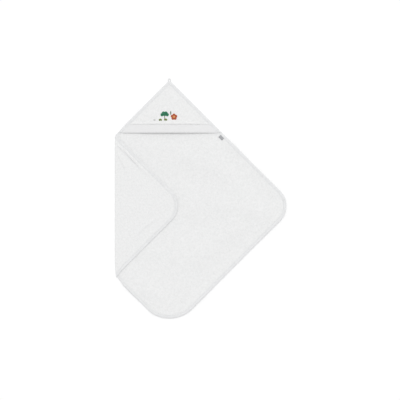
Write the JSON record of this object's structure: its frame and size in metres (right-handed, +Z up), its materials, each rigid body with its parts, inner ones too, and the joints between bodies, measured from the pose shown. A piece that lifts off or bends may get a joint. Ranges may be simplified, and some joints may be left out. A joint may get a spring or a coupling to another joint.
{
  "type": "hooded baby towel",
  "caption": "Square terry baby towel with a triangular hood on one corner, bound edges, woven hood band, small embroidery and a hanging loop; one side corner folded over the front.",
  "frame": {"origin": "centre of the cloth's square, where its diagonals cross, on the underside that lies on the floor", "axes": "+Z up, +Y towards the hood's tip, +X towards the right-hand corner"},
  "size_m": [0.7237, 1.0138, 0.0154],
  "materials": {
    "terry": "matte",
    "binding": "matte",
    "band": "matte",
    "sewing_thread": "matte",
    "label": "matte",
    "green_thread": "matte",
    "brown_thread": "matte",
    "olive_thread": "matte",
    "terracotta_thread": "matte",
    "orange_thread": "matte",
    "sage_thread": "matte",
    "grey_thread": "matte"
  },
  "bodies": {
    "towel_body": {"main_panel": "terry", "main_edge_binding": "binding", "main_binding_stitching": "sewing_thread", "side_label": "label", "fold_roll": "terry"},
    "corner_flap": {"flap_panel": "terry", "flap_edge_binding": "binding", "flap_binding_stitching": "sewing_thread"},
    "hood": {"hood_back_panel": "terry", "hood_front_panel": "terry", "hood_edge_binding": "binding", "hood_binding_stitching": "sewing_thread", "hood_band": "band", "hood_band_upper_stitching": "sewing_thread", "hood_band_lower_stitching": "sewing_thread", "hood_bartacks": "sewing_thread", "loop_bartack": "sewing_thread", "embroidered_tree_crown": "green_thread", "embroidered_tree_trunk": "brown_thread", "embroidered_grass_tufts": "olive_thread", "embroidered_flower_petals": "terracotta_thread", "embroidered_flower_centre": "orange_thread", "embroidered_leaf": "sage_thread", "embroidered_ground_stitch": "grey_thread"},
    "hanging_loop": {"hanging_loop": "binding"}
  },
  "joints": [
    {"name": "corner_fold", "type": "hinge", "parent": "towel_body", "child": "corner_flap", "pos_m": [-0.22922, 0, 0.00385], "axis": [0, -1, 0], "range_deg": [0, 180], "deforming": ["fold_roll"]},
    {"name": "hood_fold", "type": "hinge", "parent": "towel_body", "child": "hood", "pos_m": [0, 0.30653, 0.0036], "axis": [1, 0, 0], "range_deg": [0, 90]},
    {"name": "loop_hinge", "type": "hinge", "parent": "hood", "child": "hanging_loop", "pos_m": [0, 0.52366, 0.0032], "axis": [1, 0, 0], "range_deg": [0, 90]}
  ]
}
